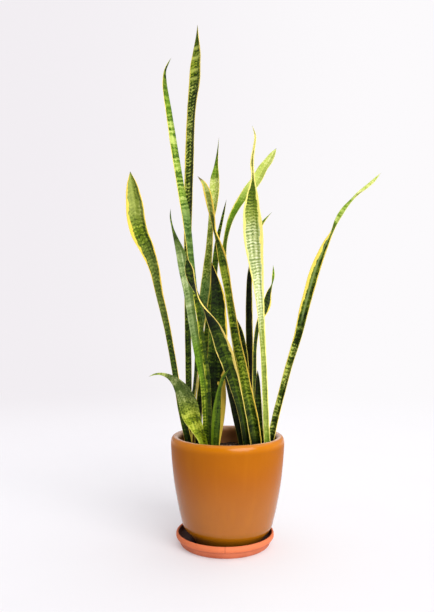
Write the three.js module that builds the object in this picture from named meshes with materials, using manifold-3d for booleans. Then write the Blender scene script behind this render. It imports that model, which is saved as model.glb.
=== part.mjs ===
// Potted snake plant: a clump of sword-shaped leaves rooted in soil, in a glazed pot on a
// terracotta saucer. Millimetres, +Z up. The origin is the centre of the saucer's underside,
// and the side that faces -Y is the front.
import * as THREE from "three";
import { mergeVertices } from "three/addons/utils/BufferGeometryUtils.js";
import Module from "manifold-3d";

// ---------------------------------------------------------------- driving dimensions
const TOUCH_GAP = 0.3; // clearance between pieces that rest on or in one another
const ROUND_SEGMENTS = 48; // facets around the pot, the saucer and the soil

const SAUCER_RADIUS = 110.5;
const SAUCER_HEIGHT = 31;
const SAUCER_FOOT_RADIUS = 98;
const SAUCER_FLOOR = 8;
const SAUCER_LIP_THICKNESS = 5;
const SAUCER_LIP_HEIGHT = 15;

const POT_OFFSET_X = 6; // the pot stands a little off the saucer's centre
const POT_BOTTOM = SAUCER_FLOOR + TOUCH_GAP;
const POT_HEIGHT = 237;
const POT_TOP = POT_BOTTOM + POT_HEIGHT;
const POT_RADIUS = 128.5;
const POT_FOOT_RADIUS = 77;
const POT_FOOT_WIDTH = 14;
const POT_FOOT_RECESS = 3;
const POT_WALL = 11;
const POT_FLOOR = 14; // thickness of the pot's floor
const POT_CORNER = 18; // the floor meets the wall over this width
const POT_LIP_RADIUS = 9; // the rim is this much rounded, inside and out
const DRAIN_HOLE_RADIUS = 11;

const SOIL_LEVEL = 206; // where the soil meets the wall
const SOIL_MOUND = 3; // the middle stands this much higher
const SOCKET_GAP = 0.6; // around a leaf's buried stretch, measured from its middle
const SOCKET_TOP = SOIL_LEVEL + 45; // the sockets' shapes run out of the soil to here
const SOCKET_FLOOR_DEPTH = 1; // and reach this far into the stem's own socket

const RHIZOME_RADIUS = 8;
const RHIZOME_HEIGHT = 146; // height of the buried stems' centrelines
const RHIZOME_END = 4; // how far a stem runs on past its last leaf
const RHIZOME_STEP = 11;

const LEAF_STATION = 30; // longest stretch of a leaf between two sections
const LEAF_BURIED_WIDTH = 14;
const LEAF_BASE_THICKNESS = 7.5;
const LEAF_BLADE_THICKNESS = 3;
const LEAF_BASE_CHANNEL = 0.32; // depth of the hollow in a leaf's front, as a share of its width
const LEAF_BLADE_CHANNEL = 0.15;
const LEAF_SHEATH_HEIGHT = 230; // above the soil, where the thick base has become a flat blade

// Each leaf's centreline from the soil to its tip, as read off the plant by hand. A point is
// [x, y, z, width, turn], with x and y from the pot's axis. turn is the way the leaf's hollow
// front looks, in degrees: 0 towards -Y, positive towards +X.
const LEAVES = {
  leaf_far_left: {
    colour: "#47602b",
    spine: [
      [-80, -24, 206, 18, -30], [-102, -29, 306, 17, -30], [-115, -34, 382, 16, -30],
      [-132, -47, 485, 17, -30], [-149, -61, 564, 19, -25], [-161, -70, 624, 25, -15],
      [-176, -79, 664, 33, -10], [-189, -87, 693, 37, -10], [-196, -94, 722, 40, -10],
      [-200, -104, 764, 35, -10], [-204, -112, 799, 20, -10], [-207, -118, 821, 0, -10],
    ],
  },
  leaf_front_curl: {
    colour: "#5d7a3d",
    spine: [
      [-47, -68, 206, 16, 0], [-54, -76, 245, 18, 0], [-67, -85, 278, 28, -8],
      [-78, -93, 305, 39, -10], [-85, -101, 334, 39, -10], [-96, -113, 360, 33, -10],
      [-111, -124, 381, 19, -10], [-126, -132, 392, 10, -10], [-142, -139, 397, 5, -10],
      [-154, -145, 396, 3, -10], [-164, -150, 392, 0, -10],
    ],
  },
  leaf_tallest: {
    colour: "#3f5a2c",
    spine: [
      [-89, 15, 206, 16, -20], [-88, 17, 340, 17, -29], [-90, 20, 483, 19, -39],
      [-91, 36, 657, 25, -45], [-88, 57, 862, 32, -48], [-83, 78, 1009, 35, -50],
      [-75, 90, 1088, 42, -47], [-74, 96, 1128, 39, -45], [-72, 103, 1172, 26, -44],
      [-72, 108, 1208, 9, -43], [-72, 112, 1238, 0, -42],
    ],
  },
  leaf_second_tall: {
    colour: "#6d8a45",
    spine: [
      [-46, -5, 206, 16, 20], [-45, -7, 325, 15, 30], [-47, -8, 384, 14, 36],
      [-56, -9, 438, 16, 41], [-65, -10, 507, 18, 49], [-76, -15, 575, 18, 52],
      [-85, -21, 648, 23, 54], [-96, -30, 739, 30, 53], [-105, -34, 790, 26, 52],
      [-123, -52, 905, 22, 50], [-132, -64, 970, 18, 47], [-139, -74, 1025, 12, 43],
      [-136, -80, 1052, 5, 42], [-130, -82, 1064, 3, 41], [-123, -85, 1075, 0, 40],
    ],
  },
  leaf_diagonal: {
    colour: "#55703a",
    spine: [
      [46, -58, 206, 17, -20], [34, -67, 290, 17, -20], [24, -72, 334, 20, -20],
      [13, -77, 378, 28, -20], [0, -87, 422, 34, -20], [-8, -93, 444, 36, -20],
      [-18, -100, 473, 34, -30], [-28, -106, 497, 33, -42], [-40, -112, 520, 30, -60],
      [-52, -120, 540, 26, -76], [-62, -127, 556, 22, -76], [-70, -135, 575, 21, -58],
      [-77, -143, 595, 20, -30], [-80, -149, 611, 20, -20], [-86, -160, 638, 0, -20],
    ],
  },
  leaf_left_middle: {
    colour: "#7c9440",
    spine: [
      [-49, -29, 206, 15, 20], [-52, -36, 307, 13, 25], [-57, -42, 374, 15, 35],
      [-65, -48, 419, 19, 35], [-80, -62, 512, 22, 35], [-89, -72, 573, 24, 35],
      [-99, -83, 626, 25, 35], [-104, -88, 652, 23, 35], [-112, -96, 679, 13, 35],
      [-119, -102, 704, 5, 35], [-123, -108, 730, 3, 35], [-122, -112, 744, 0, 35],
    ],
  },
  leaf_centre_wide: {
    colour: "#2c3f22",
    spine: [
      [-35, 25, 209, 28, 10], [-29, 24, 275, 40, 10], [-27, 23, 321, 45, 10],
      [-27, 20, 391, 43, 10], [-23, 15, 460, 45, 10], [-22, 9, 517, 39, 10],
      [-23, 4, 562, 31, 10], [-28, 0, 594, 21, 10], [-37, -6, 640, 0, 10],
    ],
  },
  leaf_front_small: {
    colour: "#5f7a40",
    spine: [
      [-29, -72, 206, 16, 20], [-30, -78, 246, 19, 20], [-28, -85, 282, 20, 20],
      [-26, -92, 315, 18, 20], [-23, -99, 338, 14, 20], [-19, -108, 363, 9, 20],
      [-9, -117, 391, 7, 20], [3, -125, 408, 0, 20],
    ],
  },
  leaf_centre_tall: {
    colour: "#56703a",
    spine: [
      [-88, 43, 206, 18, -55], [-80, 45, 306, 17, -60], [-73, 46, 360, 18, -58],
      [-64, 48, 471, 25, -48], [-57, 50, 520, 28, -43], [-50, 53, 577, 30, -40],
      [-44, 57, 640, 26, -42], [-40, 60, 685, 23, -45], [-37, 63, 736, 20, -45],
      [-32, 66, 776, 23, -35], [-29, 72, 819, 26, -25], [-28, 77, 849, 23, -25],
      [-26, 81, 874, 13, -25], [-23, 87, 908, 5, -25], [-19, 92, 952, 0, -25],
    ],
  },
  leaf_centre_twist: {
    colour: "#4c6633",
    spine: [
      [69, -42, 206, 22, -25], [57, -47, 286, 28, -25], [47, -50, 333, 26, -26],
      [30, -55, 419, 24, -35], [20, -61, 464, 24, -42], [6, -74, 551, 25, -52],
      [-6, -84, 615, 24, -36], [-15, -91, 658, 23, -45], [-21, -96, 679, 20, -60],
      [-28, -101, 699, 17, -72], [-31, -106, 720, 17, -55], [-39, -114, 757, 18, -30],
      [-44, -119, 777, 17, -30], [-51, -123, 794, 10, -30], [-65, -128, 809, 0, -30],
    ],
  },
  leaf_short_back: {
    colour: "#2f4326",
    spine: [
      [56, 22, 209, 16, -30], [46, 26, 344, 19, -30], [37, 37, 440, 22, -30],
      [30, 43, 483, 14, -30], [23, 46, 509, 0, -30],
    ],
  },
  leaf_arching_dark: {
    colour: "#33422c",
    spine: [
      [65, 42, 209, 18, -45], [57, 48, 341, 18, -50], [55, 57, 450, 23, -45],
      [55, 74, 554, 22, -45], [58, 84, 620, 20, -50], [71, 97, 677, 18, -50],
      [87, 117, 741, 13, -50], [113, 130, 775, 0, -50],
    ],
  },
  leaf_shaded: {
    colour: "#263620",
    spine: [
      [33, 12, 209, 16, 30], [15, 6, 300, 18, 30], [2, 0, 365, 18, 30],
      [-6, -7, 416, 15, 30], [-15, -14, 473, 0, 30],
    ],
  },
  leaf_pinched: {
    colour: "#42572f",
    spine: [
      [62, 65, 206, 18, 35], [65, 79, 337, 16, 40], [67, 95, 433, 14, 45],
      [74, 106, 486, 17, 45], [83, 112, 513, 20, 38], [97, 119, 543, 25, 30],
      [105, 128, 574, 14, 30], [113, 135, 594, 4, 30], [117, 141, 616, 8, 30],
      [118, 150, 645, 0, 30],
    ],
  },
  leaf_yellow_edged: {
    colour: "#7f9a55",
    spine: [
      [88, -29, 206, 16, 15], [84, -33, 284, 15, 20], [81, -37, 374, 15, 25],
      [75, -43, 485, 16, 25], [69, -51, 560, 21, 15], [64, -58, 606, 29, 10],
      [60, -62, 637, 34, 8], [55, -68, 682, 43, 5], [53, -73, 716, 42, 5],
      [51, -76, 740, 37, 5], [52, -82, 776, 26, 5], [53, -88, 803, 12, 5],
      [53, -92, 821, 7, 5], [51, -95, 840, 8, 5], [52, -99, 856, 7, 5],
      [55, -103, 876, 5, 5], [57, -108, 899, 4, 5], [50, -112, 921, 0, 5],
    ],
  },
  leaf_small_spike: {
    colour: "#34482a",
    spine: [
      [77, 12, 209, 14, 10], [71, 7, 300, 16, 10], [69, 5, 340, 15, 10],
      [69, 3, 371, 9, 10], [69, 2, 393, 0, 10],
    ],
  },
  leaf_far_right: {
    colour: "#5a7440",
    spine: [
      [96, -7, 206, 16, -35], [106, -4, 262, 18, -35], [119, -1, 316, 18, -35],
      [141, 4, 399, 18, -35], [165, 9, 477, 21, -35], [177, 14, 525, 25, -35],
      [202, 24, 611, 26, -35], [214, 28, 644, 24, -35], [234, 34, 689, 16, -35],
      [248, 38, 716, 8, -35], [257, 40, 737, 11, -35], [266, 42, 753, 13, -35],
      [280, 48, 773, 11, -35], [298, 55, 793, 7, -35], [313, 60, 808, 8, -35],
      [331, 66, 822, 9, -35], [350, 71, 838, 9, -35], [372, 78, 862, 0, -35],
    ],
  },
  leaf_upper_right: {
    colour: "#6f8d42",
    spine: [
      [46, 80, 206, 18, -40], [27, 101, 408, 20, -40], [6, 119, 555, 19, -40],
      [-4, 132, 632, 18, -45], [-4, 141, 686, 17, -50], [0, 146, 714, 18, -50],
      [14, 154, 764, 23, -45], [39, 163, 810, 26, -35], [59, 171, 838, 30, -30],
      [80, 178, 866, 30, -30], [95, 186, 895, 28, -30], [111, 192, 918, 24, -30],
      [123, 197, 939, 14, -30], [131, 200, 953, 0, -30],
    ],
  },
  leaf_thin_back: {
    colour: "#4b6231",
    spine: [
      [-68, 70, 206, 18, -30], [-64, 78, 310, 20, -30], [-50, 91, 433, 22, -30],
      [-34, 110, 579, 20, -30],
      [-25, 123, 670, 17, -30], [-21, 129, 710, 12, -30], [-15, 134, 738, 9, -30],
      [-8, 140, 771, 7, -30], [0, 146, 810, 0, -30],
    ],
  },
};

// Each buried stem runs under the leaves that grow from it, in this order.
const RHIZOMES = {
  rhizome_left_outer: [
    "leaf_front_small", "leaf_front_curl", "leaf_far_left", "leaf_tallest",
    "leaf_centre_tall", "leaf_thin_back",
  ],
  rhizome_left_inner: ["leaf_left_middle", "leaf_second_tall", "leaf_centre_wide"],
  rhizome_right_outer: [
    "leaf_diagonal", "leaf_centre_twist", "leaf_yellow_edged", "leaf_far_right",
  ],
  rhizome_right_inner: ["leaf_shaded", "leaf_short_back", "leaf_small_spike"],
  rhizome_right_back: ["leaf_arching_dark", "leaf_pinched", "leaf_upper_right"],
};

// ---------------------------------------------------------------- solids and cuts
const wasm = await Module();
wasm.setup();

/** The closed solid of a geometry whose faces share their corners. */
function toSolid(geometry) {
  const bare = new THREE.BufferGeometry();
  bare.setAttribute("position", geometry.attributes.position.clone());
  if (geometry.index) bare.setIndex(geometry.index.clone());
  const merged = mergeVertices(bare, 1e-3);
  const corners = [];
  const index = merged.index.array;
  for (let i = 0; i < index.length; i += 3) {
    const [a, b, c] = [index[i], index[i + 1], index[i + 2]];
    if (a !== b && b !== c && c !== a) corners.push(a, b, c);
  }
  return new wasm.Manifold(new wasm.Mesh({
    numProp: 3,
    vertProperties: new Float32Array(merged.attributes.position.array),
    triVerts: new Uint32Array(corners),
  }));
}

/** The geometry of a solid. */
function toGeometry(solid) {
  const { vertProperties, triVerts } = solid.getMesh();
  const geometry = new THREE.BufferGeometry();
  geometry.setAttribute("position", new THREE.BufferAttribute(vertProperties, 3));
  geometry.setIndex(new THREE.BufferAttribute(triVerts, 1));
  geometry.computeVertexNormals();
  return geometry;
}

/** A named mesh with a material of its own. */
function piece(name, geometry, colour, roughness) {
  const material = new THREE.MeshStandardMaterial({ color: colour, roughness, metalness: 0 });
  const mesh = new THREE.Mesh(geometry, material);
  mesh.name = name;
  return mesh;
}

/** A profile of [radius, height] points turned about the Z axis. */
function turned(profile) {
  const points = profile.map(([radius, height]) => new THREE.Vector2(radius, height));
  const geometry = new THREE.LatheGeometry(points, ROUND_SEGMENTS);
  return geometry.rotateX(Math.PI / 2);
}

/** Points [x, y] on a quarter or half circle, from one angle to another, in degrees. */
function arc(x, y, radius, from, to, steps) {
  const points = [];
  for (let i = 0; i <= steps; i += 1) {
    const angle = THREE.MathUtils.degToRad(from + ((to - from) * i) / steps);
    points.push([x + radius * Math.cos(angle), y + radius * Math.sin(angle)]);
  }
  return points;
}

// ---------------------------------------------------------------- saucer
function saucerGeometry() {
  const lipInside = SAUCER_RADIUS - SAUCER_LIP_THICKNESS;
  const lipTop = SAUCER_LIP_THICKNESS / 2;
  const wallFoot = SAUCER_FOOT_RADIUS + 1;
  const bandBottom = SAUCER_HEIGHT - SAUCER_LIP_HEIGHT;
  const profile = [
    [0, 0], [SAUCER_FOOT_RADIUS, 0], [wallFoot + 2, 2], [SAUCER_RADIUS - 5, bandBottom - 1],
    [SAUCER_RADIUS - 3.5, bandBottom],
    ...arc(SAUCER_RADIUS - 1.5, bandBottom + 1.5, 1.5, -90, 0, 2),
    ...arc(SAUCER_RADIUS - lipTop, SAUCER_HEIGHT - lipTop, lipTop, 0, 180, 6),
    [lipInside - 1, bandBottom], [wallFoot - 2, SAUCER_FLOOR + 3],
    [wallFoot - 5, SAUCER_FLOOR], [0, SAUCER_FLOOR],
  ];
  return turned(profile);
}

// ---------------------------------------------------------------- pot
// The pot's side from just above its foot to just below its rim, as [radius, height].
const POT_SIDE = [
  [80, 14], [87, 24], [94.5, 33], [101.2, 43], [105.2, 58], [111.3, 84], [120.8, 136],
  [126.6, 189], [128.4, 215],
];
const POT_NECK = 26; // the wall thickens into the rim over this height
const POT_SIDE_STEPS = 12;
const POT_INSIDE_STEPS = 6;

/** The pot's outer side as a smooth line of the given number of steps. */
function potSide(steps) {
  const line = new THREE.SplineCurve(POT_SIDE.map(([r, z]) => new THREE.Vector2(r, z)));
  return line.getPoints(steps).map((point) => [point.x, point.y]);
}

/** The inside wall, as [radius, height] from just above the pot's floor to the rim. */
function potInside() {
  const floorTop = POT_BOTTOM + POT_FLOOR;
  const wall = [];
  for (const [radius, height] of potSide(POT_INSIDE_STEPS)) {
    const neckShare = Math.max(0, 1 - (POT_TOP - POT_LIP_RADIUS - height) / POT_NECK);
    const thickness = POT_WALL + neckShare * (2 * POT_LIP_RADIUS - POT_WALL);
    if (height > floorTop + 8) wall.push([radius - thickness, height]);
  }
  return wall;
}

function potGeometry() {
  const floorTop = POT_BOTTOM + POT_FLOOR;
  const recess = POT_BOTTOM + POT_FOOT_RECESS;
  const footInside = POT_FOOT_RADIUS - POT_FOOT_WIDTH;
  const inside = potInside();
  const cornerRadius = inside[0][0] - POT_CORNER;
  const lipCentre = POT_RADIUS - POT_LIP_RADIUS;
  const profile = [
    [DRAIN_HOLE_RADIUS, recess], [footInside - 2, recess], [footInside, POT_BOTTOM],
    [POT_FOOT_RADIUS - 2, POT_BOTTOM], [POT_FOOT_RADIUS, POT_BOTTOM + 2],
    ...potSide(POT_SIDE_STEPS),
    ...arc(lipCentre, POT_TOP - POT_LIP_RADIUS, POT_LIP_RADIUS, 0, 180, 8),
    ...inside.reverse(),
    [cornerRadius, floorTop], [DRAIN_HOLE_RADIUS, floorTop], [DRAIN_HOLE_RADIUS, recess],
  ];
  return turned(profile);
}

// ---------------------------------------------------------------- leaves
/** A leaf's centreline from its seat on the buried stem to its tip, with width and turn. */
function leafLine(leaf) {
  const [x, y, , , turn] = leaf.spine[0];
  const seat = RHIZOME_HEIGHT + RHIZOME_RADIUS * Math.cos(Math.PI / 8) + TOUCH_GAP;
  const halfway = (seat + SOIL_LEVEL) / 2;
  return [
    [x, y, seat, LEAF_BURIED_WIDTH, turn],
    [x, y, halfway, LEAF_BURIED_WIDTH, turn],
    ...leaf.spine,
  ];
}

/** One cross-section: a crescent of eight points, both margins with three points between. */
function leafSection(centre, tangent, width, turn) {
  const angle = THREE.MathUtils.degToRad(turn);
  const looks = new THREE.Vector3(Math.sin(angle), -Math.cos(angle), 0);
  const across = new THREE.Vector3().crossVectors(tangent, looks).normalize();
  const forward = new THREE.Vector3().crossVectors(across, tangent);
  const rise = (centre.z - SOIL_LEVEL) / LEAF_SHEATH_HEIGHT;
  const bladeShare = THREE.MathUtils.smoothstep(rise, 0, 1);
  const channel = THREE.MathUtils.lerp(LEAF_BASE_CHANNEL, LEAF_BLADE_CHANNEL, bladeShare);
  const full = THREE.MathUtils.lerp(LEAF_BASE_THICKNESS, LEAF_BLADE_THICKNESS, bladeShare);
  const thickness = Math.min(full, 0.42 * width);
  const place = (share, side) => {
    const bend = channel * width * (Math.abs(share) ** 1.6 - 0.4);
    const half = (side * thickness * (1 - share * share)) / 2;
    return centre.clone()
      .addScaledVector(across, (share * width) / 2)
      .addScaledVector(forward, bend + half);
  };
  return [
    place(-1, 0), place(-0.55, 1), place(0, 1), place(0.55, 1),
    place(1, 0), place(0.55, -1), place(0, -1), place(-0.55, -1),
  ];
}

/** The leaf's cross-sections, from its base to just short of its tip. */
function leafSections(leaf) {
  const line = leafLine(leaf);
  const places = line.map(([x, y, z]) => new THREE.Vector3(x, y, z));
  const sizes = line.map(([, , , width, turn]) => new THREE.Vector3(width, turn, 0));
  const spine = new THREE.CatmullRomCurve3(places, false, "centripetal");
  const shape = new THREE.CatmullRomCurve3(sizes, false, "catmullrom", 0.4);
  const spans = line.length - 1;
  const sections = [];
  for (let span = 0; span < spans; span += 1) {
    const length = places[span].distanceTo(places[span + 1]);
    const steps = Math.max(1, Math.round(length / LEAF_STATION));
    for (let step = 0; step < steps; step += 1) {
      const at = (span + step / steps) / spans;
      const tangent = span === 0 ? new THREE.Vector3(0, 0, 1) : spine.getTangent(at);
      const size = shape.getPoint(at);
      sections.push(leafSection(spine.getPoint(at), tangent, Math.max(size.x, 1.5), size.y));
    }
  }
  return sections;
}

/** A closed skin over the sections, drawn together at an end point. */
function skin(sections, end) {
  const around = sections[0].length;
  const points = sections.flat();
  const last = sections.length - 1;
  const baseCentre = points.push(middle(sections[0])) - 1;
  const tip = points.push(end) - 1;
  const index = [];
  for (let i = 0; i < around; i += 1) {
    const next = (i + 1) % around;
    index.push(baseCentre, next, i);
    for (let ring = 0; ring < last; ring += 1) {
      const low = ring * around;
      const high = low + around;
      index.push(low + i, low + next, high + next, low + i, high + next, high + i);
    }
    index.push(last * around + i, last * around + next, tip);
  }
  const geometry = new THREE.BufferGeometry().setFromPoints(points);
  geometry.setIndex(index);
  geometry.computeVertexNormals();
  return geometry;
}

/** The middle of a section, halfway through its thickness. */
function middle(section) {
  return section[2].clone().lerp(section[6], 0.5);
}

function leafGeometry(leaf) {
  const tip = new THREE.Vector3(...leaf.spine.at(-1).slice(0, 3));
  return skin(leafSections(leaf), tip);
}

/** The space that a leaf's buried stretch takes up in the soil, clearance included. */
function socketGeometry(leaf) {
  const sections = leafSections(leaf).filter((section) => section[2].z < SOCKET_TOP);
  const floor = sections[0].map((point) => point.clone().setZ(point.z - SOCKET_FLOOR_DEPTH));
  const grown = [floor, ...sections].map((section) => {
    const centre = middle(section);
    return section.map((point) => {
      const outwards = point.clone().sub(centre).setLength(SOCKET_GAP);
      return point.clone().add(outwards);
    });
  });
  return skin(grown, middle(grown.at(-1)));
}

// ---------------------------------------------------------------- buried stems
/** A stem's centreline: under its leaves, and a little past the first and the last. */
function rhizomeCurve(leafNames) {
  const stops = leafNames.map((name) => {
    const [x, y] = LEAVES[name].spine[0];
    return new THREE.Vector3(x, y, RHIZOME_HEIGHT);
  });
  const runOn = (end, before) => {
    const way = end.clone().sub(before).setLength(RHIZOME_END);
    return end.clone().add(way);
  };
  const first = runOn(stops[0], stops[1]);
  const last = runOn(stops.at(-1), stops.at(-2));
  return new THREE.CatmullRomCurve3([first, ...stops, last], false, "centripetal");
}

/** A stem of eight flat sides, one of them on top, grown outwards by the given amount. */
function rhizomeGeometry(leafNames, grow) {
  const sides = 8;
  const radius = RHIZOME_RADIUS + grow;
  const section = new THREE.Shape();
  for (let side = 0; side < sides; side += 1) {
    const angle = (2 * Math.PI * (side + 0.5)) / sides;
    const place = [radius * Math.cos(angle), radius * Math.sin(angle)];
    if (side === 0) section.moveTo(...place);
    else section.lineTo(...place);
  }
  const path = rhizomeCurve(leafNames);
  const steps = Math.max(6, Math.round(path.getLength() / RHIZOME_STEP));
  return new THREE.ExtrudeGeometry(section, { steps, bevelEnabled: false, extrudePath: path });
}

// ---------------------------------------------------------------- soil
/** The soil fills the pot, and everything buried in it has a socket of its own shape. */
function soilGeometry() {
  const bottom = POT_BOTTOM + POT_FLOOR + TOUCH_GAP;
  const wall = potInside().filter(([, height]) => height < SOIL_LEVEL);
  const edge = wall.at(-1)[0] - TOUCH_GAP;
  const profile = [
    [0, bottom], [wall[0][0] - POT_CORNER - TOUCH_GAP, bottom],
    ...wall.map(([radius, height]) => [radius - TOUCH_GAP, height]),
    [edge, SOIL_LEVEL], [0.6 * edge, SOIL_LEVEL + 0.8 * SOIL_MOUND],
    [0, SOIL_LEVEL + SOIL_MOUND],
  ];
  let soil = toSolid(turned(profile));
  for (const leaf of Object.values(LEAVES)) {
    soil = soil.subtract(toSolid(socketGeometry(leaf)));
  }
  for (const leafNames of Object.values(RHIZOMES)) {
    soil = soil.subtract(toSolid(rhizomeGeometry(leafNames, TOUCH_GAP)));
  }
  return toGeometry(soil);
}

// ---------------------------------------------------------------- assembly
const saucer = piece("saucer", saucerGeometry(), "#c86f45", 0.85);

const pottedPlant = new THREE.Group();
pottedPlant.position.x = POT_OFFSET_X;
pottedPlant.add(piece("pot", potGeometry(), "#b8752f", 0.25));
pottedPlant.add(piece("soil", soilGeometry(), "#3a2a1d", 0.95));
for (const [name, leafNames] of Object.entries(RHIZOMES)) {
  pottedPlant.add(piece(name, rhizomeGeometry(leafNames, 0), "#c9a36a", 0.7));
}
for (const [name, leaf] of Object.entries(LEAVES)) {
  pottedPlant.add(piece(name, leafGeometry(leaf), leaf.colour, 0.5));
}

const plant = new THREE.Group();
plant.add(saucer, pottedPlant);

export default plant;
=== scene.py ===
"""Looks for the potted snake plant: finely shaped leaves, glazed pot, clay saucer and soil,
each built around its CAD node, with a pale studio floor, soft lamps and the camera."""
import math

import bmesh
import bpy
import numpy as np
from mathutils import Matrix, Vector, noise


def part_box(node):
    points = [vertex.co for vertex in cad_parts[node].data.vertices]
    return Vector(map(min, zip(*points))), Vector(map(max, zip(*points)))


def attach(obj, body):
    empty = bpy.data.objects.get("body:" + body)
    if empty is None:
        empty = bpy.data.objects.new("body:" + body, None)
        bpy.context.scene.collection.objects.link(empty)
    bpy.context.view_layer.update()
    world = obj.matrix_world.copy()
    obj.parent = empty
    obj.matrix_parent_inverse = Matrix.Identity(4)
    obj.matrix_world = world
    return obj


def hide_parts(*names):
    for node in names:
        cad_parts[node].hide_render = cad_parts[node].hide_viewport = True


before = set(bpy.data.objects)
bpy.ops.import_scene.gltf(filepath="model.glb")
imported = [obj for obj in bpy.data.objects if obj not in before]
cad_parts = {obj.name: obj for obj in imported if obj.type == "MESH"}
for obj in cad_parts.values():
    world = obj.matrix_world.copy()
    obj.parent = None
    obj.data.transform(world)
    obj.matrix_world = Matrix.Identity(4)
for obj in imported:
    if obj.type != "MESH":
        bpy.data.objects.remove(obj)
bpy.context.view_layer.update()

# All lengths are in metres.
WELD = 1e-5  # CAD corners closer than this are one corner
POT_LOW, POT_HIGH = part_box("pot")
POT_AXIS = (POT_LOW + POT_HIGH) / 2
SAUCER_AXIS = Vector((0, 0, 0))
SOIL_LOW, SOIL_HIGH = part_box("soil")


# ---------------------------------------------------------------- reading the CAD shapes
def welded(node):
    """A CAD node's distinct corners, and for each the corners that it shares an edge with."""
    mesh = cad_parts[node].data
    places = np.array([v.co for v in mesh.vertices])
    _, first, same = np.unique(
        np.round(places / WELD), axis=0, return_index=True, return_inverse=True
    )
    same = same.ravel()
    beside = [set() for _ in first]
    for edge in mesh.edges:
        a, b = (int(same[i]) for i in edge.vertices)
        if a != b:
            beside[a].add(b)
            beside[b].add(a)
    return places[first], beside


def lengths_along(points):
    """How far along a line each of its points lies."""
    return np.concatenate([[0], np.cumsum(np.linalg.norm(np.diff(points, axis=0), axis=1))])


def smoothed(at, stops, values):
    """Values at the given places, on a curve that passes through each stop without a kink."""
    values = np.asarray(values, float).reshape(len(stops), -1)
    slopes = np.gradient(values, stops, axis=0)
    span = np.clip(np.searchsorted(stops, at, side="right") - 1, 0, len(stops) - 2)
    length = np.diff(stops)[span, None]
    t = (at - stops[span])[:, None] / length
    before, after = values[span], values[span + 1]
    ease = t * t * (3 - 2 * t)
    lead = t * (1 - t) ** 2 * length * slopes[span]
    trail = t * t * (t - 1) * length * slopes[span + 1]
    return before + ease * (after - before) + lead + trail


def unit(vectors):
    """Each vector scaled to a length of one."""
    return vectors / np.linalg.norm(vectors, axis=-1, keepdims=True)


# ---------------------------------------------------------------- materials
COAT_ROUGHNESS = 0.2
COAT_IOR = 1.4
COLOUR_A, COLOUR_B, MIXED = 6, 7, 2  # a Mix node's sockets for colours


def linear(red, green, blue):
    """A colour as Blender's shaders take it, from sRGB values of 0 to 255."""
    def one(value):
        value /= 255
        return value / 12.92 if value <= 0.04045 else ((value + 0.055) / 1.055) ** 2.4
    return (one(red), one(green), one(blue), 1.0)


class Graph:
    """One material's nodes. Most methods add a node and give back its output."""

    def __init__(self, name):
        self.material = bpy.data.materials.new(name)
        self.material.use_nodes = True
        self.tree = self.material.node_tree
        self.shader = self.tree.nodes["Principled BSDF"]

    def add(self, kind, inputs=(), output=0, **settings):
        """Adds a node of that kind, feeds its inputs and gives back one of its outputs."""
        node = self.tree.nodes.new("ShaderNode" + kind)
        for name, value in settings.items():
            setattr(node, name, value)
        for socket, value in dict(inputs).items():
            self.feed(node.inputs[socket], value)
        return node.outputs[output]

    def feed(self, socket, value):
        """Links another node's output to the socket, or sets the socket to a constant."""
        if isinstance(value, bpy.types.NodeSocket):
            self.tree.links.new(value, socket)
        else:
            socket.default_value = value

    def attribute(self, name):
        """The vector that give() stored at each point."""
        return self.add("Attribute", output="Vector", attribute_name=name)

    def place(self):
        """Where a point lies in its piece, in metres."""
        return self.add("TexCoord", output="Object")

    def split(self, vector):
        node = self.add("SeparateXYZ", {0: vector}).node
        return node.outputs[0], node.outputs[1], node.outputs[2]

    def join(self, x, y, z):
        return self.add("CombineXYZ", {0: x, 1: y, 2: z})

    def math(self, operation, a, b=0.0, c=0.0):
        return self.add("Math", {0: a, 1: b, 2: c}, operation=operation)

    def product(self, first, *others):
        """All of the numbers multiplied."""
        for other in others:
            first = self.math("MULTIPLY", first, other)
        return first

    def stretch(self, vector, x, y, z):
        """The vector with each of its parts multiplied."""
        return self.add("VectorMath", {0: vector, 1: (x, y, z)}, operation="MULTIPLY")

    def noise(self, vector, scale=1.0, detail=2.0, roughness=0.5):
        """Noise from 0 to 1."""
        inputs = {"Vector": vector, "Scale": scale, "Detail": detail, "Roughness": roughness}
        return self.add("TexNoise", inputs)

    def step(self, value, start, end, low=0.0, high=1.0):
        """The value eased from low to high as it goes from start to end."""
        inputs = {0: value, 1: start, 2: end, 3: low, 4: high}
        return self.add("MapRange", inputs, interpolation_type="SMOOTHSTEP")

    def mix(self, share, a, b):
        """Colour a with the given share of colour b."""
        node = self.add("Mix", data_type="RGBA").node
        self.feed(node.inputs["Factor"], share)
        self.feed(node.inputs[COLOUR_A], a)
        self.feed(node.inputs[COLOUR_B], b)
        return node.outputs[MIXED]

    def layered(self, colour, layers):
        """The colour with others laid over it in turn. Each layer is a share and sRGB values."""
        for share, over in layers:
            colour = self.mix(share, colour, linear(*over))
        return colour

    def bump(self, height, distance, strength=1.0):
        """Makes the surface look raised where the height is 1, by the distance."""
        inputs = {"Height": height, "Distance": distance, "Strength": strength}
        self.feed(self.shader.inputs["Normal"], self.add("Bump", inputs))

    def finish(self, colour, roughness, specular=0.5, coat=0.0):
        """The finished material. coat is the weight of the clear coat over it."""
        values = {
            "Base Color": colour, "Roughness": roughness, "Specular IOR Level": specular,
            "Coat Weight": coat, "Coat Roughness": COAT_ROUGHNESS, "Coat IOR": COAT_IOR,
        }
        for socket, value in values.items():
            self.feed(self.shader.inputs[socket], value)
        return self.material


# ---------------------------------------------------------------- meshes
def add_object(name, data):
    """A new object in the scene, which holds a mesh, a lamp or a camera."""
    thing = bpy.data.objects.new(name, data)
    bpy.context.scene.collection.objects.link(thing)
    return thing


def drawn_piece(name, bm, material):
    """An object whose mesh is the given bmesh, which is freed."""
    mesh = bpy.data.meshes.new(name)
    bm.to_mesh(mesh)
    bm.free()
    mesh.materials.append(material)
    return add_object(name, mesh)


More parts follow.
